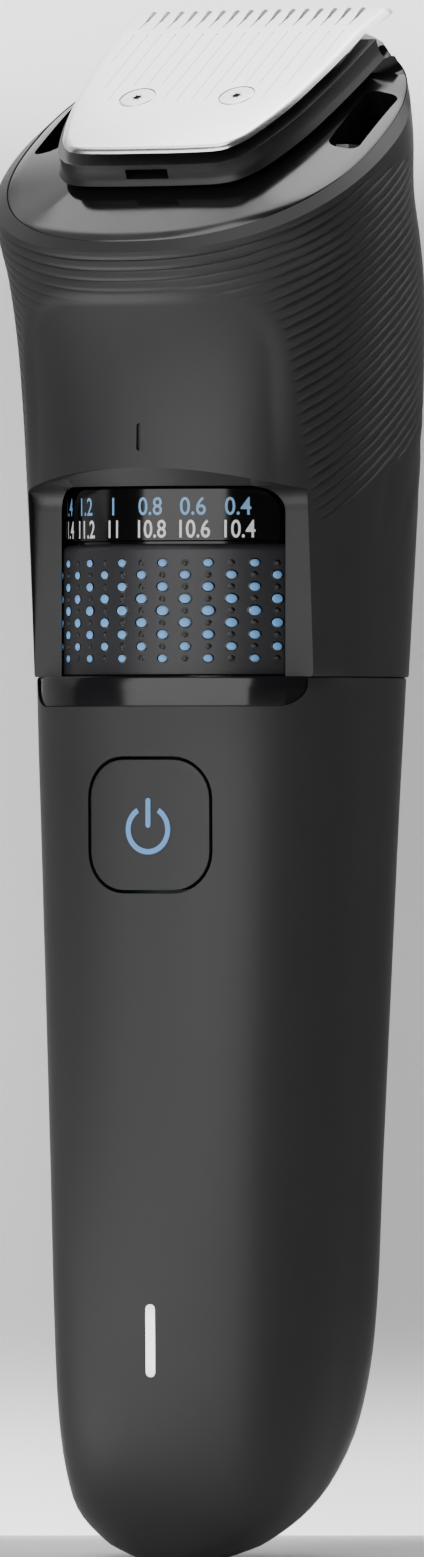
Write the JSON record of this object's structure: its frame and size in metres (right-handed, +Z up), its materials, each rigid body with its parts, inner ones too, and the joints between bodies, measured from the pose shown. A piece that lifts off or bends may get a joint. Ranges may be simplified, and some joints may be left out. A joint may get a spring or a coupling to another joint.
{
  "type": "beard trimmer",
  "caption": "Cordless beard trimmer with a thumb wheel that sets the comb length, a leaning clip-on steel cutting head and a push button.",
  "frame": {"origin": "middle of the outline seen from above, at the lowest point of the handle", "axes": "+Z up along the handle towards the head, -Y out of the front with the button, +X to the right seen from the back"},
  "size_m": [0.0462, 0.0458, 0.172],
  "materials": {
    "shell_plastic": "soft-touch moulded ABS, fine matt grain",
    "button_plastic": "moulded plastic, fine matt grain",
    "gloss_plastic": "polished black plastic",
    "number_plastic": "polished black plastic under printed numbers",
    "wheel_plastic": "satin moulded plastic",
    "dot_rubber": "light blue second-shot elastomer",
    "symbol_plastic": "light blue inlay",
    "inner_plastic": "glass-filled nylon",
    "acetal": "natural acetal",
    "carriage_plastic": "grey moulded acetal",
    "frame_plastic": "satin black plastic",
    "seal_rubber": "black silicone rubber",
    "guard_steel": "fine brushed stainless steel",
    "blade_steel": "ground hardened steel",
    "spring_steel": "bright spring wire",
    "motor_steel": "plated steel can",
    "contact_metal": "nickel-plated brass",
    "cell_wrap": "shrink-wrapped steel cell",
    "board_laminate": "green glass-epoxy laminate",
    "light_guide_plastic": "clear acrylic, lit white"
  },
  "bodies": {
    "handle": {"lower_housing": "shell_plastic", "upper_housing": "shell_plastic", "deck": "gloss_plastic", "window_ledge": "gloss_plastic", "housing_seal": "seal_rubber", "click_spring": "spring_steel", "button_seal": "seal_rubber", "switch_body": "inner_plastic", "light_guide": "light_guide_plastic", "led_chip": "light_guide_plastic", "circuit_board": "board_laminate", "chassis": "inner_plastic", "battery_cell": "cell_wrap", "battery_pad": "seal_rubber", "battery_tab_top": "contact_metal", "battery_tab_bottom": "contact_metal", "charge_socket": "inner_plastic", "socket_seal": "seal_rubber", "charge_pin_left": "contact_metal", "charge_pin_right": "contact_metal", "motor_can": "motor_steel", "motor_plate": "inner_plastic", "drive_frame": "inner_plastic", "lever_pivot_pin": "spring_steel", "lever_boot": "seal_rubber", "deck_screw_left": "spring_steel", "deck_screw_right": "spring_steel", "chassis_screw_left": "spring_steel", "chassis_screw_right": "spring_steel"},
    "wheel": {"length_wheel": "wheel_plastic", "dot_sleeve": "dot_rubber", "number_ring": "number_plastic", "cam_sleeve": "acetal"},
    "comb_lift": {"comb_carriage": "carriage_plastic", "comb_follower_pin": "spring_steel"},
    "button": {"power_button": "button_plastic", "button_symbol": "symbol_plastic"},
    "plunger": {"switch_plunger": "acetal"},
    "rotor": {"motor_rotor": "spring_steel", "eccentric": "acetal"},
    "lever": {"drive_lever": "acetal"},
    "head": {"head_frame": "frame_plastic", "guard_plate": "guard_steel", "guard_screw_left": "guard_steel", "guard_screw_right": "guard_steel", "cutter_spring": "spring_steel", "head_latch": "inner_plastic"},
    "cutter": {"cutter_blade": "blade_steel", "cutter_driver": "acetal"}
  },
  "joints": [
    {"name": "wheel_turn", "type": "hinge", "parent": "handle", "child": "wheel", "pos_m": [0, 0.0015, 0.105], "axis": [0, 0, 1], "range_deg": [-32.73, 278.18]},
    {"name": "comb_slide", "type": "slide", "parent": "handle", "child": "comb_lift", "axis": [0, 0, 1], "range_m": [-0.00102, 0.0086]},
    {"name": "button_press", "type": "slide", "parent": "handle", "child": "button", "axis": [0, 1, 0], "range_m": [0, 0.0004], "stiffness_N_per_m": 4000, "springref_m": -0.0001},
    {"name": "plunger_press", "type": "slide", "parent": "handle", "child": "plunger", "axis": [0, 1, 0], "range_m": [0, 0.0004]},
    {"name": "rotor_spin", "type": "hinge", "parent": "handle", "child": "rotor", "pos_m": [0, 0.0015, 0.105], "axis": [0, 0, 1], "continuous": true},
    {"name": "lever_swing", "type": "hinge", "parent": "handle", "child": "lever", "pos_m": [0, 0.0031, 0.138], "axis": [0, 1, 0], "range_deg": [-3.15, 3.15]},
    {"name": "head_release", "type": "slide", "parent": "handle", "child": "head", "axis": [0, -0.515, 0.8572], "range_m": [0, 0.012]},
    {"name": "cutter_stroke", "type": "slide", "parent": "head", "child": "cutter", "axis": [1, 0, 0], "range_m": [-0.00128, 0.00128]}
  ],
  "couplings": [
    {"joint": "comb_slide", "follows": "wheel_turn", "m_per_rad": 0.0017691},
    {"joint": "plunger_press", "follows": "button_press", "ratio": 1},
    {"joint": "lever_swing", "follows": "cutter_stroke", "rad_per_m": 42.919}
  ]
}
